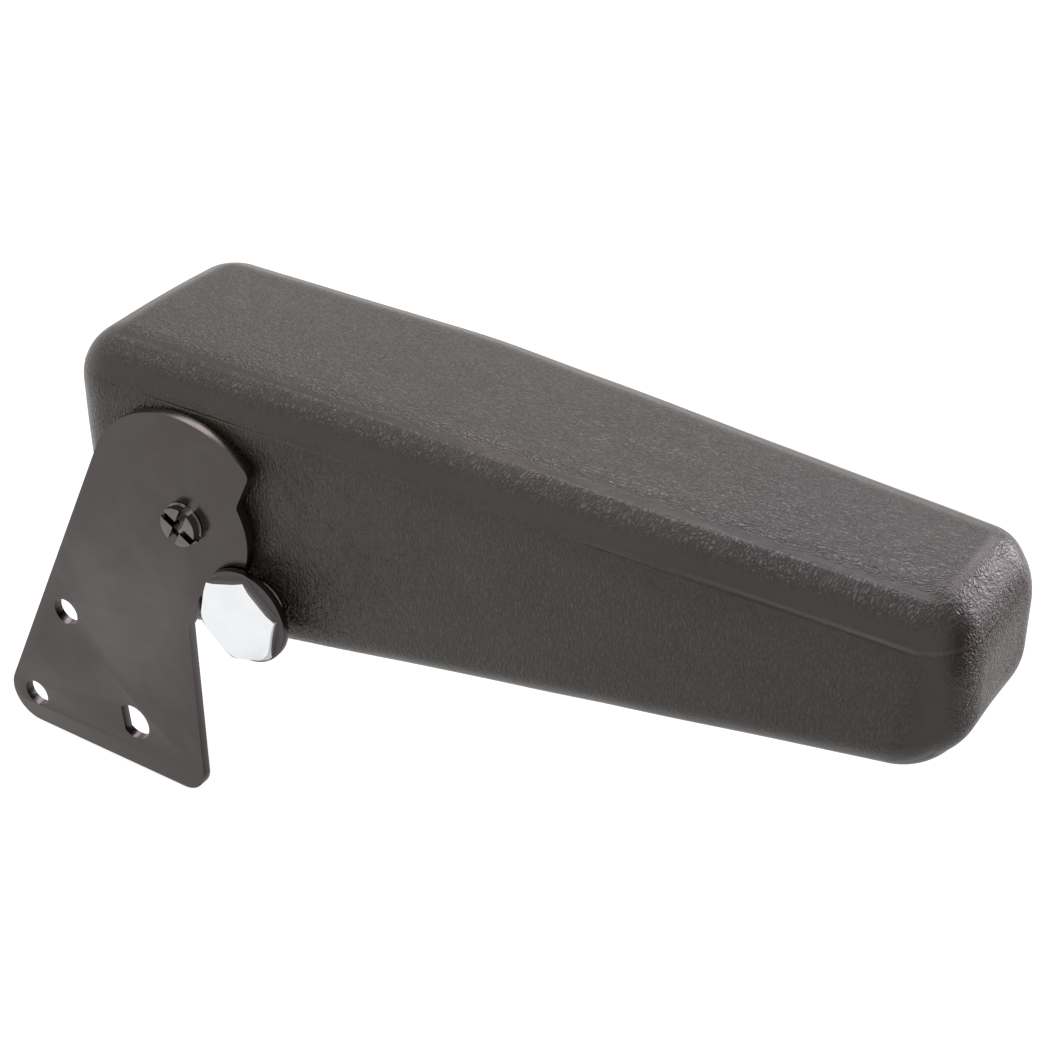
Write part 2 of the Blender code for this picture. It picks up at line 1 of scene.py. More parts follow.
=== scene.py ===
"""Looks for a flip-up armrest: grained foam pad, plated side bracket, slotted pivot, hexagon stop.

Shapes are written in millimetres about the pivot axis and moved to the row frame by at_pivot().
The pivot axis runs along Y. +X is towards the pad's front end and +Z is up. The bracket lies on
the near (-Y) side of the pad, and the capped well opens on the far (+Y) side.
"""
import json
import math

import bmesh
import bpy
import numpy as np
from mathutils import Matrix, Vector, noise


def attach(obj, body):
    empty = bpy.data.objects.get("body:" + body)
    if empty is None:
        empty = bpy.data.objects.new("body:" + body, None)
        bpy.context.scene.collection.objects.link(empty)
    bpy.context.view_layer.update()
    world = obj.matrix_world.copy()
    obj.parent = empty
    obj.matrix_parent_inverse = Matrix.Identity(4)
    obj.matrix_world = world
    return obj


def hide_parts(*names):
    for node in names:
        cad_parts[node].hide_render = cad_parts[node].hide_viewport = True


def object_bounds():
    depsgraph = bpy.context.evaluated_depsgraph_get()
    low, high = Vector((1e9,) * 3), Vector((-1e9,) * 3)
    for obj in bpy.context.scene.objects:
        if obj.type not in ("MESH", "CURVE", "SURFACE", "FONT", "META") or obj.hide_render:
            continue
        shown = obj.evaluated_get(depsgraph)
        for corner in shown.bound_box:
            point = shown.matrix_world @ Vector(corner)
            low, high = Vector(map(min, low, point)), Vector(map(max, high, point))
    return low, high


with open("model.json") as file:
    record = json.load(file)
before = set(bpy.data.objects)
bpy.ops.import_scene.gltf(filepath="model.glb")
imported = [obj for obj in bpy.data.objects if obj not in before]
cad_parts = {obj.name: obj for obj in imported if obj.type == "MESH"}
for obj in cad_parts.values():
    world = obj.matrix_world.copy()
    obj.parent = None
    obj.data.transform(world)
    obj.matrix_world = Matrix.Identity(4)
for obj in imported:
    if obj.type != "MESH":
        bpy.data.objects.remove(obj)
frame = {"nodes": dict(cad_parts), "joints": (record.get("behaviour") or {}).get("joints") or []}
cad_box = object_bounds()

MM = 0.001
joints = {j["name"]: j for j in frame["joints"]}
PIVOT = Vector(joints["armrest_fold"]["pos_m"])
STOP = (Vector(joints["stop_turn"]["pos_m"]) - PIVOT) / MM
STOP_AXIS = (STOP.x, STOP.z)


def at_pivot(x, y, z):
    return (PIVOT.x + x * MM, PIVOT.y + y * MM, PIVOT.z + z * MM)


# ================================================================== node graphs
def rgba(colour):
    return (*colour, 1.0) if isinstance(colour, tuple) else colour


def shade(colour, factor):
    return tuple(min(1.0, c * factor) for c in colour)


class Graph:
    """Writes the nodes of a material or world. Inputs may be sockets or plain values."""

    def __init__(self, owner):
        owner.use_nodes = True
        self.tree = owner.node_tree
        self.tree.nodes.clear()

    def node(self, kind, inputs=None, **props):
        made = self.tree.nodes.new("ShaderNode" + kind)
        for key, value in props.items():
            setattr(made, key, value)
        for key, value in (inputs or {}).items():
            if isinstance(value, bpy.types.NodeSocket):
                self.tree.links.new(value, made.inputs[key])
            elif value is not None:
                made.inputs[key].default_value = value
        return made

    def math(self, op, a, b=None, c=None):
        return self.node("Math", {0: a, 1: b, 2: c}, operation=op).outputs[0]

    def add(self, total, *terms):
        for term in terms:
            total = self.math("ADD", total, term)
        return total

    def mul(self, a, b):
        return self.math("MULTIPLY", a, b)

    def vec(self, op, a, b=None):
        made = self.node("VectorMath", {0: a, 1: b}, operation=op)
        return made.outputs["Value" if op in ("LENGTH", "DOT_PRODUCT") else 0]

    def scaled(self, vector, scale):
        return self.node("VectorMath", {0: vector, "Scale": scale}, operation="SCALE").outputs[0]

    def fit(self, value, lo, hi, to_lo=0.0, to_hi=1.0):
        """Smooth step from to_lo at lo to to_hi at hi."""
        inputs = {0: value, 1: lo, 2: hi, 3: to_lo, 4: to_hi}
        return self.node("MapRange", inputs, interpolation_type="SMOOTHSTEP").outputs[0]

    def mix_shader(self, share, first, second):
        return self.node("MixShader", {0: share, 1: first, 2: second}).outputs[0]


class PartGraph(Graph):
    """A material in object coordinates, millimetres about the pivot. Scales are per millimetre."""

    def __init__(self, name):
        self.mat = bpy.data.materials.new(name)
        super().__init__(self.mat)
        place = self.node("TexCoord").outputs["Object"]
        self.co = self.scaled(self.vec("SUBTRACT", place, tuple(PIVOT)), 1000.0)
        self.x, self.y, self.z = self.node("SeparateXYZ", {0: self.co}).outputs

    def noise(self, co, scale=1.0, detail=2.0, rough=0.5, warp=0.0):
        inputs = {"Vector": co, "Scale": scale, "Detail": detail,
                  "Roughness": rough, "Distortion": warp}
        return self.node("TexNoise", inputs).outputs[0]

    def spread(self, value, to_lo=0.0, to_hi=1.0):
        """Widens noise, which mostly stays between 0.3 and 0.7, to a full range."""
        return self.fit(value, 0.3, 0.7, to_lo, to_hi)

    def mix_colour(self, share, a, b):
        return self.node("Mix", {0: share, 6: rgba(a), 7: rgba(b)}, data_type="RGBA").outputs[2]

    def attribute(self, name):
        return self.node("Attribute", attribute_name=name).outputs["Fac"]

    def bump(self, height, depth_mm, strength=1.0, over=None):
        inputs = {"Strength": strength, "Distance": depth_mm * MM, "Height": height,
                  "Normal": over}
        return self.node("Bump", inputs).outputs[0]

    def finish(self, colour, roughness, metallic, normal, specular=None):
        surface = self.node("BsdfPrincipled", {
            "Base Color": colour, "Roughness": roughness, "Metallic": metallic,
            "Normal": normal, "Specular IOR Level": specular})
        self.node("OutputMaterial", {"Surface": surface.outputs[0]})
        return self.mat


# ------------------------------------------------------------------ materials
def foam_skin():
    """Each w_ attribute of the pad says how strongly one kind of grain shows there."""
    g = PartGraph("foam_skin_grained")

    def drift(scale, reach_mm):
        cloud = g.node("TexNoise", {"Vector": g.co, "Scale": scale, "Detail": 2.0}).outputs[1]
        return g.scaled(g.vec("SUBTRACT", cloud, (0.5, 0.5, 0.5)), reach_mm)

    wide, tight = drift(scale=0.08, reach_mm=6.0), drift(scale=0.55, reach_mm=1.5)
    co = g.vec("ADD", g.vec("ADD", g.co, wide), tight)
    top, side, front, edge = (g.attribute(n) for n in ("w_top", "w_side", "w_front", "w_edge"))

    def stretched(*per_mm):
        return g.vec("MULTIPLY", co, per_mm)

    def cracked(*per_mm, width):
        """0 in the cracks, 1 on the plateaus."""
        inputs = {"Vector": stretched(*per_mm), "Scale": 1.0}
        cells = g.node("TexVoronoi", inputs, feature="DISTANCE_TO_EDGE")
        return g.fit(cells.outputs["Distance"], 0.0, width)

    # painted shade in the cracks: how much darker each place is drawn
    def painted_crack_shade(weight, strength, cracks, other_cracks):
        depth = g.math("SUBTRACT", 1.0, g.math("MINIMUM", cracks, other_cracks))
        return g.mul(depth, g.mul(weight, strength))

    # top: fine wrinkles along the pad with smaller ones between
    lines = g.noise(stretched(0.24, 1.5, 1.5), rough=0.6)
    top_a = cracked(0.24, 0.95, 0.95, width=0.22)
    top_b = cracked(0.65, 1.45, 1.45, width=0.25)
    top_height = g.add(g.mul(top_a, 0.60), g.mul(top_b, 0.30), g.mul(lines, 0.30))
    # sides: short upright grain
    ticks = g.noise(stretched(1.25, 1.25, 0.34), rough=0.6)
    side_a = cracked(1.05, 1.05, 0.36, width=0.3)
    side_height = g.add(g.mul(side_a, 0.22), g.mul(ticks, 0.9))
    # rounded edges: wrinkles across the edge
    folds = g.noise(stretched(1.15, 0.42, 0.42))
    edge_a = cracked(1.15, 0.45, 0.45, width=0.3)
    edge_height = g.add(g.mul(edge_a, 0.6), g.mul(folds, 1.1))
    # front end: pebbles
    dots = g.noise(co, scale=1.3)
    front_a = cracked(0.82, 0.72, 1.05, width=0.20)
    front_height = g.add(g.mul(front_a, 0.6), g.mul(dots, 0.6))
    # creases beside the stop: the lines where a warped noise crosses its middle value
    worn_co = g.vec("MULTIPLY", co, (0.42, 0.42, 0.30))
    worn = g.math("SUBTRACT", g.noise(worn_co, detail=1.0, warp=0.8), 0.5)
    worn = g.fit(g.math("ABSOLUTE", worn), 0.0, 0.10, to_lo=-1.0, to_hi=0.0)
    height = g.add(g.mul(top_height, g.mul(top, 0.85)), g.mul(side_height, g.mul(side, 3.0)),
                   g.mul(edge_height, g.mul(edge, 1.15)), g.mul(front_height, g.mul(front, 2.4)),
                   g.mul(worn, g.mul(g.attribute("w_crease"), 3.2)))
    # painted shade in the cracks of each grain; it darkens the colour and lowers the reflection
    dark = g.add(g.add(painted_crack_shade(top, 0.62, top_a, top_b), painted_crack_shade(side, 0.26, side_a, side_a)),
                 g.add(painted_crack_shade(edge, 0.40, edge_a, edge_a),
                       painted_crack_shade(front, 0.50, front_a, front_a)))

    # swells, then the grain, then fine tooth
    normal = g.bump(g.noise(co, scale=0.14), depth_mm=0.22, strength=0.6)
    normal = g.bump(height, depth_mm=0.13, over=normal)
    normal = g.bump(g.noise(g.co, scale=2.4, detail=1.0), depth_mm=0.010, strength=0.8, over=normal)

    # colour: patchy, changing towards the front, with painted shade in the cracks
    patch = g.noise(g.co, scale=0.035, detail=3.0, rough=0.6)
    middle = g.mix_colour(g.spread(patch), (0.0240, 0.0195, 0.0150), (0.0300, 0.0250, 0.0190))
    fore = g.mix_colour(g.spread(patch), (0.0200, 0.0150, 0.0150), (0.0250, 0.0195, 0.0190))
    tone = g.mix_colour(g.fit(g.x, 70.0, 190.0), middle, fore)
    tone = g.mix_colour(g.mul(dark, 0.6), tone, (0.010, 0.008, 0.007))
    # painted highlight: the front end is drawn lighter and pinker
    tone = g.mix_colour(g.mul(front, 0.55), tone, (0.036, 0.021, 0.021))
    # parting line: lighter at the rear, the flash's own colour with painted highlight, painted
    # shade in the groove ahead, broken by dark dots, and a pale painted highlight on the bead ahead
    dark_dots = g.fit(g.noise(g.co, scale=0.45, rough=0.6), 0.62, 0.70)
    flash_sheen_and_groove_shade = g.mix_colour(g.fit(g.x, 80.0, 125.0), (0.058, 0.038, 0.031), (0.010, 0.009, 0.008))
    flash_sheen_and_groove_shade = g.mix_colour(dark_dots, flash_sheen_and_groove_shade, (0.003, 0.003, 0.003))
    ahead = g.fit(g.x, 70.0, 115.0)
    tone = g.mix_colour(g.mul(g.attribute("w_line"), 1.0), tone, flash_sheen_and_groove_shade)
    rim_highlight = g.mul(g.attribute("w_rim_highlight"), g.mul(ahead, 0.85))
    tone = g.mix_colour(rim_highlight, tone, (0.085, 0.074, 0.068))

    # painted shade in the cracks and along the groove ahead also lowers the reflection
    dark = g.add(dark, g.mul(g.attribute("w_line"), g.mul(ahead, 0.5)))
    fine = g.noise(g.co, scale=3.2, detail=3.0, rough=0.65)
    rough = g.add(g.spread(patch, 0.23, 0.27), g.spread(fine, -0.03, 0.04))
    return g.finish(tone, rough, metallic=0.0, normal=normal,
                    specular=g.math("MULTIPLY_ADD", dark, -0.42, 0.54))


def plating_noises(g, cloud_scale):
    """Broad clouds, fine specks and the normal of a slightly wavy sheet."""
    cloud = g.noise(g.co, cloud_scale, detail=4.0, rough=0.6, warp=0.4)
    speck = g.noise(g.co, scale=1.6, detail=3.0, rough=0.7)
    wave = g.bump(g.noise(g.co, scale=0.12), depth_mm=0.03, strength=0.5)
    return cloud, speck, wave


def plated(name, dark, light, rough, cloud_scale):
    """Plated steel; rough is the range from cloud to cloud."""
    g = PartGraph(name)
    cloud, speck, wave = plating_noises(g, cloud_scale)
    colour = g.mix_colour(g.spread(cloud), dark, light)
    roughness = g.add(g.spread(cloud, *rough), g.fit(speck, 0.35, 0.7, to_lo=-0.015, to_hi=0.03))
    normal = g.bump(speck, depth_mm=0.002 if name == "zinc_plate" else 0.004, strength=0.7,
                    over=wave)
    return g.finish(colour, roughness, metallic=1.0, normal=normal)


def black_plate():
    """Black plating over rolled steel, cloudy, drawn lighter about the middle of the sheet by a
    painted reflection.
    """
    g = PartGraph("black_plate")
    cloud, speck, wave = plating_noises(g, cloud_scale=0.05)
    # the painted reflection is an ellipse in XZ
    reflection_centre, reflection_shrink = (-26.0, 0.0, -38.0), (1 / 38.0, 0.0, 1 / 34.0)
    offset = g.vec("MULTIPLY", g.vec("SUBTRACT", g.co, reflection_centre), reflection_shrink)
    reflection_pool = g.fit(g.vec("LENGTH", offset), 1.25, 0.1)
    share = g.add(g.mul(reflection_pool, 0.8), g.fit(cloud, 0.35, 0.65, to_lo=-0.18, to_hi=0.2))
    share = g.math("MAXIMUM", g.math("MINIMUM", share, 1.0), 0.0)
    colour = g.mix_colour(share, (0.090, 0.081, 0.080), (0.128, 0.120, 0.121))
    roughness = g.add(g.spread(cloud, 0.20, 0.27),
                      g.fit(speck, 0.35, 0.7, to_lo=-0.02, to_hi=0.04))
    rolled = g.noise(g.vec("MULTIPLY", g.co, (0.10, 1.0, 2.2)), detail=3.0, rough=0.6)
    normal = g.bump(g.add(speck, rolled), depth_mm=0.006, strength=0.7, over=wave)
    return g.finish(colour, roughness, metallic=1.0, normal=normal)


def turned_steel(name, colour, rough):
    """Steel with turning rings about the pivot axis."""
    g = PartGraph(name)
    axis_x, axis_z, rings_per_mm = 0.0, 0.0, 5.0
    dx, dz = g.math("SUBTRACT", g.x, axis_x), g.math("SUBTRACT", g.z, axis_z)
    radius = g.math("SQRT", g.add(g.mul(dx, dx), g.mul(dz, dz)))
    ring_co = {0: g.mul(radius, rings_per_mm), 1: g.mul(g.y, rings_per_mm), 2: 0.0}
    rings = g.noise(g.node("CombineXYZ", ring_co).outputs[0], detail=3.0, rough=0.65)
    cloud = g.noise(g.co, scale=0.25, detail=3.0, rough=0.6)
    tone = g.mix_colour(g.spread(cloud), shade(colour, 0.88), shade(colour, 1.08))
    roughness = g.add(rough, g.spread(rings, -0.03, 0.05))
    normal = g.bump(rings, depth_mm=0.006, strength=0.7)
    return g.finish(tone, roughness, metallic=1.0, normal=normal)


def moulded(name, colour, rough, grain_scale=1.4, depth_mm=0.02):
    g = PartGraph(name)
    grain = g.noise(g.co, grain_scale, detail=4.0, rough=0.6)
    cloud = g.noise(g.co, scale=0.08, detail=3.0)
    tone = g.mix_colour(cloud, shade(colour, 0.85), shade(colour, 1.12))
    return g.finish(tone, g.spread(grain, rough - 0.05, rough + 0.06), metallic=0.0,
                    normal=g.bump(grain, depth_mm, strength=0.8))


MATERIALS = {
    "foam": foam_skin(),
    "plate": black_plate(),
    "zinc": plated("zinc_plate", dark=(0.89, 0.915, 0.96), light=(0.95, 0.97, 1.0),
                   rough=(0.19, 0.25), cloud_scale=0.10),
    "pin": turned_steel("pin_blackened", colour=(0.175, 0.165, 0.16), rough=0.13),
    "steel": turned_steel("bare_steel", colour=(0.46, 0.46, 0.46), rough=0.38),
    "zinc_small": plated("zinc_small", dark=(0.70, 0.72, 0.74), light=(0.80, 0.82, 0.84),
                         rough=(0.26, 0.34), cloud_scale=0.2),
    "nylon": moulded("nylon_natural", colour=(0.60, 0.58, 0.52), rough=0.45),
    "plastic": moulded("cap_plastic", colour=(0.022, 0.021, 0.021), rough=0.42,
                       grain_scale=2.2, depth_mm=0.04),
    "rubber": moulded("rubber_black", colour=(0.020, 0.020, 0.020), rough=0.68,
                      grain_scale=2.8, depth_mm=0.03),
}


# ================================================================== shape helpers
def smooth(mesh, sharp_deg=30.0):
    mesh.shade_smooth()
    mesh.set_sharp_from_angle(angle=math.radians(sharp_deg))


def link(name, data):
    ob = bpy.data.objects.new(name, data)
    bpy.context.scene.collection.objects.link(ob)
    return ob


def finish_mesh(name, bm, mat):
    if all(e.is_manifold for e in bm.edges) and bm.calc_volume(signed=True) < 0:
        bmesh.ops.reverse_faces(bm, faces=bm.faces)
    mesh = bpy.data.meshes.new(name)
    bm.to_mesh(mesh)
    bm.free()
    smooth(mesh)
    mesh.materials.append(mat)
    return link(name, mesh)


def evaluated_mesh(ob):
    dg = bpy.context.evaluated_depsgraph_get()
    return bpy.data.meshes.new_from_object(ob.evaluated_get(dg))


def apply_modifiers(ob, sharp_deg=30.0):
    mesh = evaluated_mesh(ob)
    old = ob.data
    ob.modifiers.clear()
    ob.data = mesh
    bpy.data.meshes.remove(old)
    smooth(mesh, sharp_deg)


def bevel(ob, width_mm, segments, angle_deg):
    edge = ob.modifiers.new("edge", "BEVEL")
    edge.width = width_mm * MM
    edge.segments = segments
    edge.limit_method = "ANGLE"
    edge.angle_limit = math.radians(angle_deg)
    apply_modifiers(ob)


def cut(ob, tool, op="DIFFERENCE"):
    boolean = ob.modifiers.new(tool.name, "BOOLEAN")
    boolean.operation = op
    boolean.solver = "EXACT"
    boolean.object = tool


def drop(*obs):
    for ob in obs:
        mesh = ob.data
        bpy.data.objects.remove(ob, do_unlink=True)
        bpy.data.meshes.remove(mesh)


def register(ob, part, piece):
    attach(ob, part)
    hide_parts(piece)


def lathe(name, profile, mat, at=(0.0, 0.0), steps=96):
    """Turns (radius, y) points about an axis along Y through (x, z).

    The profile is a closed loop, or starts and ends on the axis."""
    bm = bmesh.new()
    following = profile[1:] + profile[:1]
    area = sum(p[0] * q[1] - q[0] * p[1] for p, q in zip(profile, following))
    rows = []
    for r, y in profile if area > 0 else profile[::-1]:
        if r < 1e-6:
            rows.append([bm.verts.new(at_pivot(at[0], y, at[1]))])
            continue
        turns = [2 * math.pi * k / steps for k in range(steps)]
        rows.append([bm.verts.new(at_pivot(at[0] + r * math.cos(t), y, at[1] + r * math.sin(t)))
                     for t in turns])
    for a, b in zip(rows, rows[1:] + rows[:1]):
        if len(a) == 1 and len(b) == 1:
            continue
        for k in range(steps):
            n = (k + 1) % steps
            if len(a) == 1:
                bm.faces.new((a[0], b[n], b[k]))
            elif len(b) == 1:
                bm.faces.new((a[k], a[n], b[0]))
            else:
                bm.faces.new((a[k], a[n], b[n], b[k]))
    bmesh.ops.recalc_face_normals(bm, faces=bm.faces)
    return finish_mesh(name, bm, mat)


def eased(corners, segments):
    """Turns (u, v, rounding) corners of a loop into (u, v) points with arcs at the corners."""
    out = []
    places = [Vector(c[:2]) for c in corners]
    for i, p in enumerate(places):
        r = corners[i][2]
        a, b = places[i - 1] - p, places[(i + 1) % len(places)] - p
        half = a.angle(b) / 2
        if r <= 0 or half > math.radians(88):
            out.append(tuple(p))
            continue
        trim = min(r / math.tan(half), a.length * 0.49, b.length * 0.49)
        r = trim * math.tan(half)
        a.normalize()
        b.normalize()
        c = p + (a + b).normalized() * (r / math.sin(half))
        start, end = (p + a * trim - c).normalized(), (p + b * trim - c).normalized()
        for k in range(segments + 1):
            out.append(tuple(c + start.slerp(end, k / segments, start) * r))
    return out


def arc(cx, cz, r, start, end, step):
    """Points from angle start to end in degrees, no more than step apart."""
    n = max(2, int(math.ceil(abs(end - start) / step)))
    turns = [math.radians(start + (end - start) * i / n) for i in range(n + 1)]
    return [(cx + r * math.cos(t), cz + r * math.sin(t)) for t in turns]


def circle(cx, cz, r, step):
    return arc(cx, cz, r, 0.0, 360.0 - step, step)


def flat_plate(name, loops, thickness, mat):
    """Flat outline in XZ with holes, from y = 0 to thickness."""
    curve = bpy.data.curves.new(name, "CURVE")
    curve.dimensions = "2D"
    curve.fill_mode = "BOTH"
    curve.extrude = thickness / 2
    for loop in loops:
        spline = curve.splines.new("POLY")
        spline.points.add(len(loop) - 1)
        for p, (x, z) in zip(spline.points, loop):
            p.co = (x, z, 0.0, 1.0)
        spline.use_cyclic_u = True
    outline = link(name + "_outline", curve)
    bpy.context.view_layer.update()
    filled = evaluated_mesh(outline)
    bm = bmesh.new()
    bm.from_mesh(filled)
    bpy.data.objects.remove(outline, do_unlink=True)
    bpy.data.meshes.remove(filled)
    bmesh.ops.remove_doubles(bm, verts=bm.verts, dist=0.002)
    for v in bm.verts:
        x, z, depth = v.co
        v.co = at_pivot(x, thickness / 2 - depth, z)
    bmesh.ops.recalc_face_normals(bm, faces=bm.faces)
    return finish_mesh(name, bm, mat)


# ================================================================== bracket plate
PLATE_T = 3.0
HEAD_R, LOBE_R = 33.9, 22.4                     # both about the pivot
TIP_ANGLE, TIP_R = 46.0, 2.8                    # rounded end of the head's arc
REAR_CORNER = (-69.2, -87.5, 10.0)              # lower corners: x, z, radius
FRONT_CORNER = (-10.3, -90.8, 8.0)
TIP_EDGE_DIR = (0.425, 0.905)                   # edge from the tip down to the lobe
TIP_FILLET, NECK_FILLET = 2.5, 6.0              # where straight edges meet the lobe
NECK_TOP, NECK_BOTTOM = (4.3, -19.3), (1.0, -30.8)
NECK_END = (-2.3, -36.8)
PIVOT_HOLE_R, ROUND_HOLE_R = 6.3, 4.5
ROUND_HOLES = ((-51.4, -49.4), (-69.2, -87.0))
# hole with one flat: centre, radius, distance of the flat from the centre and its angle
FLAT_HOLE, FLAT_HOLE_R, FLAT_OFFSET, FLAT_ANGLE = (-28.7, -81.8), 6.0, 4.3, 185.0


def angle_of(v):
    return math.degrees(math.atan2(v.y, v.x))


def lobe_fillet_centre(normal, along, offset, fillet):
    """Centre of the fillet between the lobe and an edge at offset from the pivot."""
    out = offset + fillet
    return normal * out + along * math.sqrt((LOBE_R + fillet) ** 2 - out ** 2)


def bracket_outline():
    """(x, z) points, clockwise seen from -Y, starting at the lower rear corner."""
    rx, rz, rr = REAR_CORNER
    fx, fz, fr = FRONT_CORNER
    # directions square to the rear and bottom edges
    lean = math.acos((HEAD_R - rr) / math.hypot(rx, rz)) - math.atan2(-rz, -rx)
    rear = 180.0 - math.degrees(lean)
    bottom = math.degrees(math.atan2(fz - rz, fx - rx) - math.pi / 2
                          + math.asin((rr - fr) / math.hypot(fx - rx, fz - rz)))
    # the tip and the edge below it
    edge = Vector(TIP_EDGE_DIR).normalized()
    edge_normal = Vector((edge.y, -edge.x))
    tip_turn = math.radians(TIP_ANGLE)
    tip = Vector((math.cos(tip_turn), math.sin(tip_turn))) * (HEAD_R - TIP_R)
    offset = (tip + edge_normal * TIP_R).dot(edge_normal)
    upper = lobe_fillet_centre(edge_normal, edge, offset, TIP_FILLET)
    # the neck under the lobe
    neck_top, neck_bottom = Vector(NECK_TOP), Vector(NECK_BOTTOM)
    neck = (neck_bottom - neck_top).normalized()
    neck_normal = Vector((-neck.y, neck.x))
    lower = lobe_fillet_centre(neck_normal, neck, neck_top.dot(neck_normal), NECK_FILLET)

    out = arc(rx, rz, rr, bottom + 360.0, rear, 4.0)
    out += arc(0, 0, HEAD_R, rear, TIP_ANGLE, 1.5)
    out += arc(tip.x, tip.y, TIP_R, TIP_ANGLE, angle_of(edge_normal), 8.0)[1:]
    out += arc(upper.x, upper.y, TIP_FILLET, angle_of(-edge_normal) % 360.0,
               angle_of(-upper) % 360.0, 8.0)
    out += arc(0, 0, LOBE_R, angle_of(upper), angle_of(lower), 2.0)[1:]
    out += arc(lower.x, lower.y, NECK_FILLET, angle_of(-lower),
               angle_of(-neck_normal) % 360.0, 5.0)[1:]
    out += [tuple(neck_bottom), NECK_END]
    out += arc(fx, fz, fr, 0.0, bottom, 4.0)
    return out


def side_bracket():
    half = math.degrees(math.acos(FLAT_OFFSET / FLAT_HOLE_R))
    loops = [bracket_outline(), circle(0, 0, PIVOT_HOLE_R, 3.0)]
    loops += [circle(x, z, ROUND_HOLE_R, 4.0) for x, z in ROUND_HOLES]
    loops += [arc(*FLAT_HOLE, FLAT_HOLE_R, FLAT_ANGLE + half, FLAT_ANGLE + 360.0 - half, 4.0)]
    plate = flat_plate("side_bracket", loops, PLATE_T, MATERIALS["plate"])
    bevel(plate, width_mm=0.28, segments=3, angle_deg=50.0)
    register(plate, "bracket", "bracket_plate")


# ================================================================== pivot pin
PIN_R, PIN_END_R, COLLAR_R = 6.0, 5.0, 6.55
PIN_NEAR, PIN_STEP, PIN_FAR = -3.0, 61.6, 76.9
PIN_PROFILE = [                                 # radius, y, rounding
    (0.0, PIN_NEAR, 0), (PIN_R, PIN_NEAR, 0),
    (PIN_R, -0.42, 0.1), (COLLAR_R, -0.42, 0.16), (COLLAR_R, -0.06, 0.12), (PIN_R, -0.06, 0),
    (PIN_R, PIN_STEP, 0.2), (PIN_END_R, PIN_STEP, 0.2), (PIN_END_R, PIN_FAR, 0.7),
    (0.0, PIN_FAR, 0),
]
SLOT_LOW, SLOT_HIGH = (-9, -6, -1.3), (9, 0.6, 1.3)     # along the slot, y, across it
SLOT_ANGLES = (64.0, 148.0)


def slot_block(name, turn_deg):
    bm = bmesh.new()
    bmesh.ops.create_cube(bm, size=1.0)
    c, s = math.cos(math.radians(turn_deg)), math.sin(math.radians(turn_deg))
    for v in bm.verts:
        along, y, across = (lo + (share + 0.5) * (hi - lo)
                            for lo, hi, share in zip(SLOT_LOW, SLOT_HIGH, v.co))
        v.co = at_pivot(along * c - across * s, y, along * s + across * c)
    bmesh.ops.recalc_face_normals(bm, faces=bm.faces)
    return finish_mesh(name, bm, MATERIALS["pin"])


def pivot_pin():
    pin = lathe("pivot_pin_slotted", eased(PIN_PROFILE, 3), MATERIALS["pin"], steps=120)
    for k, turn_deg in enumerate(SLOT_ANGLES):
        slot = slot_block("slot_cut_%d" % k, turn_deg)
        cut(pin, slot)
        apply_modifiers(pin)
        drop(slot)
    bevel(pin, width_mm=0.30, segments=4, angle_deg=35.0)
    register(pin, "bracket", "pivot_pin")


# ================================================================== hexagon stop
HEX_NEAR, HEX_T, HEX_FLATS, HEX_TWIST = -5.8, 2.9, 24.0, 17.5
HEX_BACK = HEX_NEAR + HEX_T
CHAMFER_R, FORM_R, CHAMFER_DEPTH = 12.55, 14.6, 1.05    # chamfer on the head's near corners
STUD_R, STUD_END_R, STUD_END = 4.0, 3.4, 26.5
WASHER_HOLE_R, WASHER_R = 4.3, 14.5
WASHER_NEAR, WASHER_FAR = HEX_BACK + 0.05, -0.45


def hexagon(name, mat):
    bm = bmesh.new()
    corner_r = HEX_FLATS / math.sqrt(3)
    x, z = STOP_AXIS
    turns = [math.radians(HEX_TWIST + 60 * k) for k in range(6)]
    near, back = ([bm.verts.new(at_pivot(x + corner_r * math.cos(t), y,
                                         z + corner_r * math.sin(t))) for t in turns]
                  for y in (HEX_NEAR, HEX_BACK))
    for k in range(6):
        n = (k + 1) % 6
        bm.faces.new((near[k], near[n], back[n], back[k]))
    bm.faces.new(near)
    bm.faces.new(back)
    bmesh.ops.recalc_face_normals(bm, faces=bm.faces)
    return finish_mesh(name, bm, mat)


def stop_head():
    zinc = MATERIALS["zinc"]
    form_near, form_far, stud_near = HEX_NEAR - 0.02, HEX_BACK + 1, HEX_BACK - 1.2
    form_profile = [(0.0, form_near), (CHAMFER_R, form_near), (FORM_R, HEX_NEAR + CHAMFER_DEPTH),
                    (FORM_R, form_far), (0.0, form_far)]
    stud_profile = [(0.0, stud_near), (STUD_R, stud_near), (STUD_R, STUD_END - 0.6),
                    (STUD_END_R, STUD_END), (0.0, STUD_END)]
    head = hexagon("stop_head", zinc)
    form = lathe("stop_head_form", form_profile, zinc, STOP_AXIS, steps=192)
    stud = lathe("stop_stud", stud_profile, zinc, STOP_AXIS, steps=64)
    cut(head, form, "INTERSECT")
    cut(head, stud, "UNION")
    apply_modifiers(head)
    bevel(head, width_mm=0.10, segments=2, angle_deg=25.0)
    drop(form, stud)
    register(head, "stop_adjuster", "stop_bolt")


def stop_washer():
    corners = [(WASHER_HOLE_R, WASHER_NEAR, 0.1), (WASHER_R, WASHER_NEAR, 0.3),
               (WASHER_R, WASHER_FAR, 0.3), (WASHER_HOLE_R, WASHER_FAR, 0.1)]
    washer = lathe("stop_flange_washer", eased(corners, 4), MATERIALS["plate"], STOP_AXIS,
                   steps=160)
    register(washer, "stop_adjuster", "stop_washer")


# ================================================================== foam pad
PAD_NEAR_Y = 4.6
PAD_REAR, PAD_FRONT = -45.74, 226.38
TAPER_X, TAPER_BEND = 58.1, 14.0                # the taper starts over a soft bend
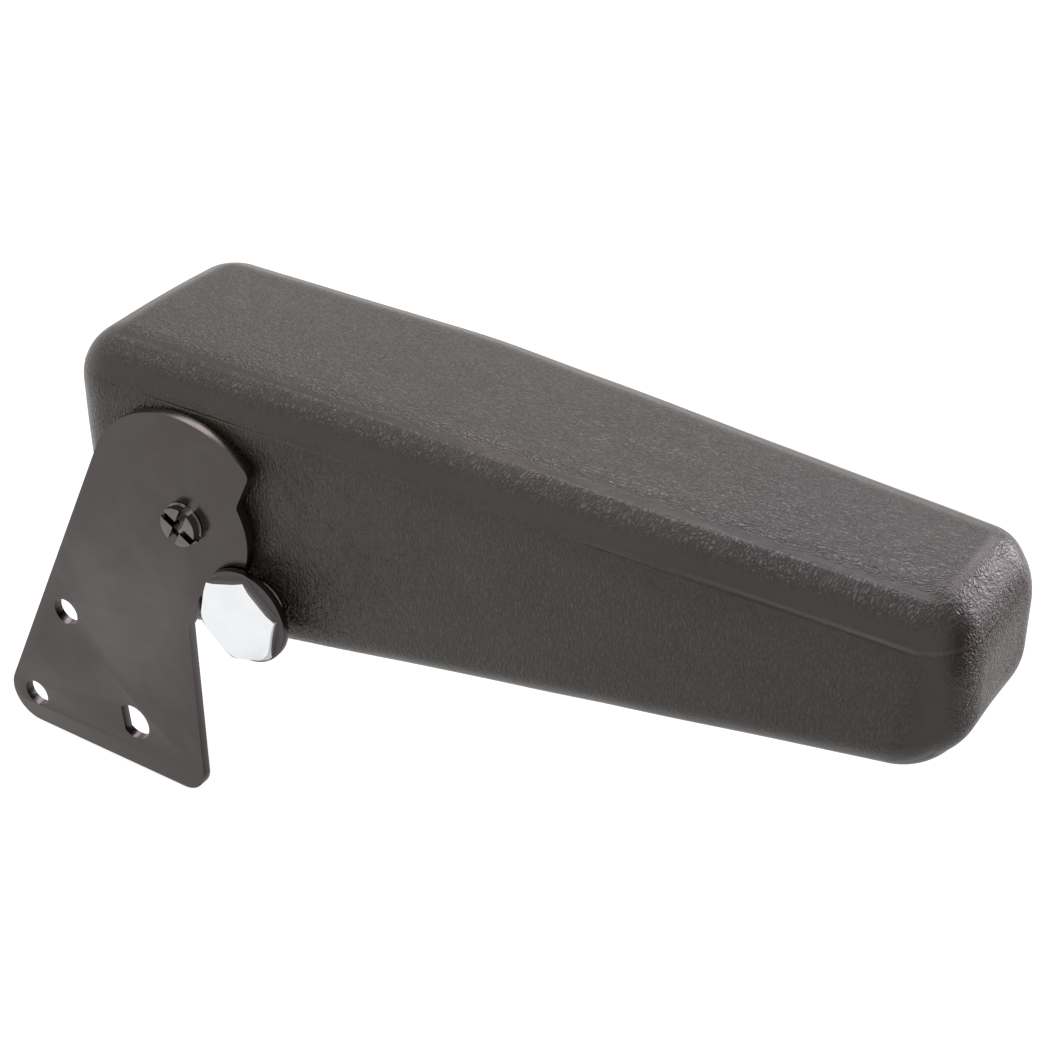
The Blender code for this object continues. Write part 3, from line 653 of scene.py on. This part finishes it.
# pairs are at the rear and at the front
PAD_WIDTH = (74.94, 58.34)
PAD_TOP, PAD_BOTTOM = (45.59, 44.48), (-51.54, -3.6)
SIDE_ROUND, TOP_ROUND, BOTTOM_ROUND = (16.1, 17.1), (16.5, 18.8), (11.5, 17.7)
REAR_ROUND = 16.8
FRONT_ROUND = (17.4, 13.9)                      # at the bottom and at the top
PAD_FAR_Y = PAD_NEAR_Y + PAD_WIDTH[0]

# lattice stations: along x, across as a share of the width, and down from the top
LINE_Z = 34.0                                   # height of the parting line
LEVEL_TOP, UPPER_DEPTH = 45.5, 32.0
LINE_ROWS = LINE_Z + np.array([-1.5, -1.0, -0.75, -0.55, -0.38, -0.22, -0.06,
                               0.1, 0.26, 0.42, 0.6, 0.8, 1.05, 1.5])
X_STATIONS = np.linspace(PAD_REAR, PAD_FRONT, 251)
Y_SHARES = np.linspace(0.0, 1.0, 67)
DOWN = np.concatenate([np.linspace(0.0, LEVEL_TOP - LINE_ROWS[-1], 11)[:-1],
                       LEVEL_TOP - LINE_ROWS[::-1],
                       np.linspace(LEVEL_TOP - LINE_ROWS[0], UPPER_DEPTH, 18)[1:]])
LOWER_SHARES = np.linspace(0.0, 1.0, 47)[1:]    # from UPPER_DEPTH to the bottom
NX, NY, NZ = len(X_STATIONS) - 1, len(Y_SHARES) - 1, len(DOWN) + len(LOWER_SHARES) - 1


def mix(a, b, t):
    return a + (b - a) * t


def ease(t):
    t = np.clip(t, 0.0, 1.0)
    return t * t * (3 - 2 * t)


def along_pad(x):
    return (x - PAD_REAR) / (PAD_FRONT - PAD_REAR)


def pad_width(x):
    d, k = x - TAPER_X, TAPER_BEND
    run = np.where(d > k, d, np.where(d < -k, 0.0, (d + k) ** 2 / (4 * k)))
    return PAD_WIDTH[0] + (PAD_WIDTH[1] - PAD_WIDTH[0]) * run / (PAD_FRONT - TAPER_X)


def rounded(x, y, z):
    """Takes points on the pad's square block to its rounded form."""
    t = along_pad(x)
    low, high = mix(*PAD_BOTTOM, t), mix(*PAD_TOP, t)
    side, top, bottom = mix(*SIDE_ROUND, t), mix(*TOP_ROUND, t), mix(*BOTTOM_ROUND, t)
    front = mix(*FRONT_ROUND, ease(((z - low) / (high - low) - 0.25) / 0.5))
    cx = np.clip(x, PAD_REAR + REAR_ROUND, PAD_FRONT - front)
    cy = np.clip(y, PAD_NEAR_Y + side, PAD_NEAR_Y + pad_width(x) - side)
    cz = np.clip(z, low + bottom, high - top)
    radii = np.stack([np.where(x < 50, REAR_ROUND, front), side, np.where(z > cz, top, bottom)], -1)
    d = np.stack([x - cx, y - cy, z - cz], -1) / radii
    length = np.maximum(np.linalg.norm(d, axis=-1), 1e-9)[:, None]
    return np.stack([cx, cy, cz], -1) + radii * d / length


def lattice_point(i, j, k):
    x = X_STATIONS[i]
    top, bottom = mix(*PAD_TOP, along_pad(x)), mix(*PAD_BOTTOM, along_pad(x))
    depth = np.concatenate([DOWN, np.zeros(len(LOWER_SHARES))])[k]
    share = np.concatenate([np.zeros(len(DOWN)), LOWER_SHARES])[k]
    z = np.where(k < len(DOWN), top - depth, mix(top - DOWN[-1], bottom, share))
    return x, PAD_NEAR_Y + pad_width(x) * Y_SHARES[j], z


def pad_shell():
    """Points and quads of the six walls of the lattice, facing outwards."""
    def wall(i, j, k, flip):
        idx = (i * (NY + 1) + j) * (NZ + 1) + k
        q = np.stack([idx[:-1, :-1], idx[1:, :-1], idx[1:, 1:], idx[:-1, 1:]], -1).reshape(-1, 4)
        return q[:, ::-1] if flip else q

    i, j, k = np.arange(NX + 1), np.arange(NY + 1), np.arange(NZ + 1)
    walls = []
    a, b = np.meshgrid(i, j, indexing="ij")
    walls += [wall(a, b, 0, False), wall(a, b, NZ, True)]
    a, b = np.meshgrid(i, k, indexing="ij")
    walls += [wall(a, 0, b, True), wall(a, NY, b, False)]
    a, b = np.meshgrid(j, k, indexing="ij")
    walls += [wall(0, a, b, False), wall(NX, a, b, True)]
    ids, quads = np.unique(np.concatenate(walls), return_inverse=True)
    k = ids % (NZ + 1)
    j = (ids // (NZ + 1)) % (NY + 1)
    i = ids // ((NZ + 1) * (NY + 1))
    return rounded(*lattice_point(i, j, k)), quads.reshape(-1, 4)


def to_mesh(name, points, quads):
    mesh = bpy.data.meshes.new(name)
    co = points * MM + np.array(PIVOT)
    mesh.vertices.add(len(co))
    mesh.vertices.foreach_set("co", co.astype(np.float32).ravel())
    mesh.loops.add(quads.size)
    mesh.loops.foreach_set("vertex_index", quads.astype(np.int32).ravel())
    mesh.polygons.add(len(quads))
    mesh.polygons.foreach_set("loop_start", np.arange(0, quads.size, 4, dtype=np.int32))
    mesh.update(calc_edges=True)
    mesh.validate()
    return mesh


def vertex_normals(points, quads):
    mesh = to_mesh("pad_skin", points, quads)
    normals = np.zeros(len(points) * 3, np.float32)
    mesh.vertex_normals.foreach_get("vector", normals)
    bpy.data.meshes.remove(mesh)
    return normals.reshape(-1, 3).astype(float)


def field(points, scale, seed, octaves=1):
    """Smooth noise at each point, about -1 to 1. scale is per millimetre on each axis."""
    out = np.zeros(len(points))
    for o in range(octaves):
        q = points * np.array(scale) * 2 ** o + seed * 17.3 + o * 5.1
        out += np.array([noise.noise(v) for v in q]) / 2 ** o
    return out


def grain_weights(points, normals):
    """Where each kind of grain lies."""
    x, (out_x, out_y, up) = points[:, 0], normals.T
    top = ease((up - 0.955) / 0.035)
    side = ease((np.abs(out_y) - 0.80) / 0.17) + ease((-up - 0.80) / 0.17)
    front = (ease((out_x - 0.02) / 0.3) * (0.15 + 0.85 * ease((out_x - 0.78) / 0.17))
             + ease((x - 165.0) / 50.0) * 0.10 * top + ease((-out_x - 0.3) / 0.5) * 0.5)
    front = np.clip(front, 0, 1)
    edge = ease((0.935 - up) / 0.05) * ease((up - 0.50) / 0.27) * (1 - 0.7 * front)
    return {"w_top": top * (1 - 0.6 * front), "w_side": side, "w_front": front, "w_edge": edge}


def pad_relief(points, normals):
    """Millimetres to move each point outwards, and the weights of the creases and the line."""
    x, y, z = points.T
    up = normals[:, 2]
    swell = field(points, (0.018, 0.03, 0.03), 1.0, 2) * 0.35

    # creases beside the stop, on the near side only
    bent = points + field(points, (0.05, 0.05, 0.05), 5.0)[:, None] * 4.0
    crease = 1.0 - np.abs(field(bent, (0.13, 0.13, 0.075), 2.0)) * 6.0
    crease = np.clip(crease, 0, 1) ** 1.5
    near_stop = np.exp(-(((x - 36) / 15) ** 2 + ((z + 22) / 14) ** 2)) * (normals[:, 1] < -0.3)

    # parting line: a groove with a bead above it, fainter for a stretch of its length
    def band(height, width):
        return np.exp(-((z - LINE_Z - height) / width) ** 2)

    on_side = ease((1.0 - np.abs(up)) / 0.35)
    fade = 0.75 + 0.25 * np.clip(field(points, (0.05, 0.05, 0.05), 7.0) * 3.0, -1, 1)
    fade = fade * (1.0 - 0.9 * ease((x - 72.0) / 8.0) * ease((132.0 - x) / 8.0))
    bead = band(0.22, 0.20) * 0.15 - band(-0.16, 0.22) * 0.22

    # the top is slightly crowned
    half_top = (pad_width(x) - 2 * SIDE_ROUND[0]) / 2
    across = np.clip((y - PAD_NEAR_Y - pad_width(x) / 2) / half_top, -1.25, 1.25)
    crown = (0.25 - 0.45 * across ** 2) * ease((up - 0.55) / 0.45)

    move = swell - crease * near_stop * 0.22 + bead * on_side * fade + crown
    # the line weights mark where painted shade lies in the groove ahead and where a painted
    # highlight lies on the bead above it
    return (move, {"w_crease": near_stop},
            {"w_line": band(-0.14, 0.26) * on_side * fade,
             "w_rim_highlight": band(0.42, 0.32) * on_side * fade})


def foam_pad():
    foam = MATERIALS["foam"]
    points, quads = pad_shell()
    normals = vertex_normals(points, quads)
    move, crease_weight, line_weights = pad_relief(points, normals)
    weights = {**crease_weight, **grain_weights(points, normals), **line_weights}
    mesh = to_mesh("pad_skin", points + normals * move[:, None], quads)
    for name, values in weights.items():
        layer = mesh.attributes.new(name, "FLOAT", "POINT")
        layer.data.foreach_set("value", np.clip(values, 0, 1).astype(np.float32))
    mesh.shade_smooth()
    mesh.materials.append(foam)
    pad = link("pad_skin", mesh)

    tools = []
    for name, r, near, far, axis, steps in (
            ("cut_tube", 12.0, 2.0, 61.3, (0, 0), 72),
            ("cut_well", 15.0, 59.7, PAD_FAR_Y + 4, (0, 0), 72),
            ("cut_stop", 9.3, 2.0, 28.5, STOP_AXIS, 64)):
        bore = [(0.0, near), (r, near), (r, far), (0.0, far)]
        tools.append(lathe(name, bore, foam, axis, steps))
    for tool in tools:
        cut(pad, tool)
    apply_modifiers(pad, sharp_deg=50.0)
    drop(*tools)
    register(pad, "armrest", "foam_pad")


# ================================================================== cap in the far side
CAP_PROFILE = [                                 # radius, y from the far side, rounding
    (0.0, 1.4, 0), (14.0, 1.4, 0.8), (16.6, 1.0, 0.4), (17.2, 0.3, 0.25), (14.7, 0.3, 0.1),
    (14.7, -3.6, 0.3), (12.8, -3.6, 0.3), (12.8, -0.4, 0.1), (0.0, -0.4, 0),
]


def well_cap():
    corners = [(r, PAD_FAR_Y + y, rounding) for r, y, rounding in CAP_PROFILE]
    cap = lathe("well_cap", eased(corners, 4), MATERIALS["plastic"], steps=128)
    register(cap, "armrest", "access_cap")


# ================================================================== build
side_bracket()
pivot_pin()
stop_head()
stop_washer()
foam_pad()
well_cap()

# finishes of the CAD pieces that stay
CAD_FINISHES = {
    "steel": ("thrust_washer", "disc_spring_inner", "disc_spring_outer", "armature_plate",
              "load_spreader", "pivot_tube", "stop_boss"),
    "zinc_small": ("nut_washer", "tension_nut", "stop_lock_nut"),
    "nylon": ("bush_bracket_side", "bush_far_side", "wear_washer"),
    "rubber": ("stop_sleeve",),
}
for finish, pieces in CAD_FINISHES.items():
    for piece in pieces:
        slots = frame["nodes"][piece].data.materials
        slots.clear()
        slots.append(MATERIALS[finish])

# ================================================================== floor, light and camera
# azimuth from +X to +Y, elevation, inner and outer angle in degrees, strength
SOFT_LIGHTS = (
    (55.0, 13.0, 5.0, 27.0, 13.6),        # large softbox beyond the pad's front and far side
    (91.0, 39.0, 17.0, 20.0, 2.1),        # its upper wing
    (123.0, 52.0, 6.0, 22.0, 3.4),        # high strip beyond the far side
    (-168.0, 60.0, 6.0, 15.0, 5.6),       # lamp above the rear
    (45.0, -14.0, 10.0, 25.0, 2.4),       # low bounce card under the softbox
)
DIM_ZONES = (                             # the last column is the share of light taken away
    (25.0, 1.0, 7.0, 59.0, 0.94),         # past the front end
    (186.0, 55.0, 5.0, 17.0, 0.63),       # beside the lamp above the rear
    (48.0, -84.0, 21.0, 58.0, 0.45),      # under the part
)
BASE_TINT, BASE_STRENGTH = (1.0, 0.985, 0.965), 0.97
LIGHT_TINT = (1.0, 0.905, 0.955)
WHITE = (1.0, 1.0, 1.0)


def studio_world():
    """White to the camera; soft lights and dim zones to everything else."""
    world = bpy.data.worlds.new("studio")
    g = Graph(world)
    co = g.node("TexCoord").outputs["Generated"]

    def lobe(azimuth, elevation, inner, outer, height):
        """height within inner degrees of the direction, fading to 0 at outer degrees."""
        a, e = math.radians(azimuth), math.radians(elevation)
        towards = (math.cos(a) * math.cos(e), math.sin(a) * math.cos(e), math.sin(e))
        return g.fit(g.vec("DOT_PRODUCT", co, towards), math.cos(math.radians(outer)),
                     math.cos(math.radians(inner)), to_hi=height)

    lamps, dim = 0.0, 1.0
    for light in SOFT_LIGHTS:
        lamps = g.add(lamps, lobe(*light))
    for zone in DIM_ZONES:
        dim = g.mul(dim, g.math("SUBTRACT", 1.0, lobe(*zone)))
    total = g.vec("ADD", g.scaled(BASE_TINT, BASE_STRENGTH), g.scaled(LIGHT_TINT, lamps))
    lit = g.node("Background", {0: g.scaled(total, dim)}).outputs[0]
    seen = g.node("Background", {0: rgba(WHITE)}).outputs[0]
    to_camera = g.node("LightPath").outputs["Is Camera Ray"]
    g.node("OutputWorld", {0: g.mix_shader(to_camera, lit, seen)})
    bpy.context.scene.world = world


def studio_floor():
    """Pale glowing floor just under the part, clear when seen from below."""
    half_size, gap = 4.0, 0.0006          # metres
    mat = bpy.data.materials.new("studio_white")
    g = Graph(mat)
    paint = g.node("BsdfPrincipled", {
        "Base Color": (0.28, 0.28, 0.28, 1.0), "Roughness": 0.9, "Specular IOR Level": 0.0,
        "Emission Color": rgba(WHITE), "Emission Strength": 0.84}).outputs[0]
    clear = g.node("BsdfTransparent").outputs[0]
    from_below = g.node("NewGeometry").outputs["Backfacing"]
    g.node("OutputMaterial", {0: g.mix_shader(from_below, paint, clear)})
    bm = bmesh.new()
    bmesh.ops.create_grid(bm, x_segments=1, y_segments=1, size=half_size)
    for v in bm.verts:
        v.co.z = cad_box[0][2] - gap
    floor = finish_mesh("studio_floor", bm, mat)
    floor.visible_glossy = False
    floor.visible_diffuse = False


def camera():
    """Looks down from the near side, ahead of the pad's front end."""
    data = bpy.data.cameras.new("camera")
    data.sensor_width = 36.0
    data.lens = 75.717017
    data.clip_start = 0.01
    right = Vector((0.84352025, 0.53709020, -0.00277394))
    up = Vector((-0.28742409, 0.45576118, 0.84241862))
    back = Vector((0.45371905, -0.70979987, 0.53881645))
    turn = Matrix((right, up, back)).transposed().to_4x4()
    cam = bpy.data.objects.new("camera", data)
    cam.matrix_world = Matrix.Translation(at_pivot(358.021, -384.478, 330.341)) @ turn
    bpy.context.scene.collection.objects.link(cam)
    bpy.context.scene.camera = cam


studio_world()
studio_floor()
camera()
bpy.context.scene.view_settings.view_transform = "Standard"
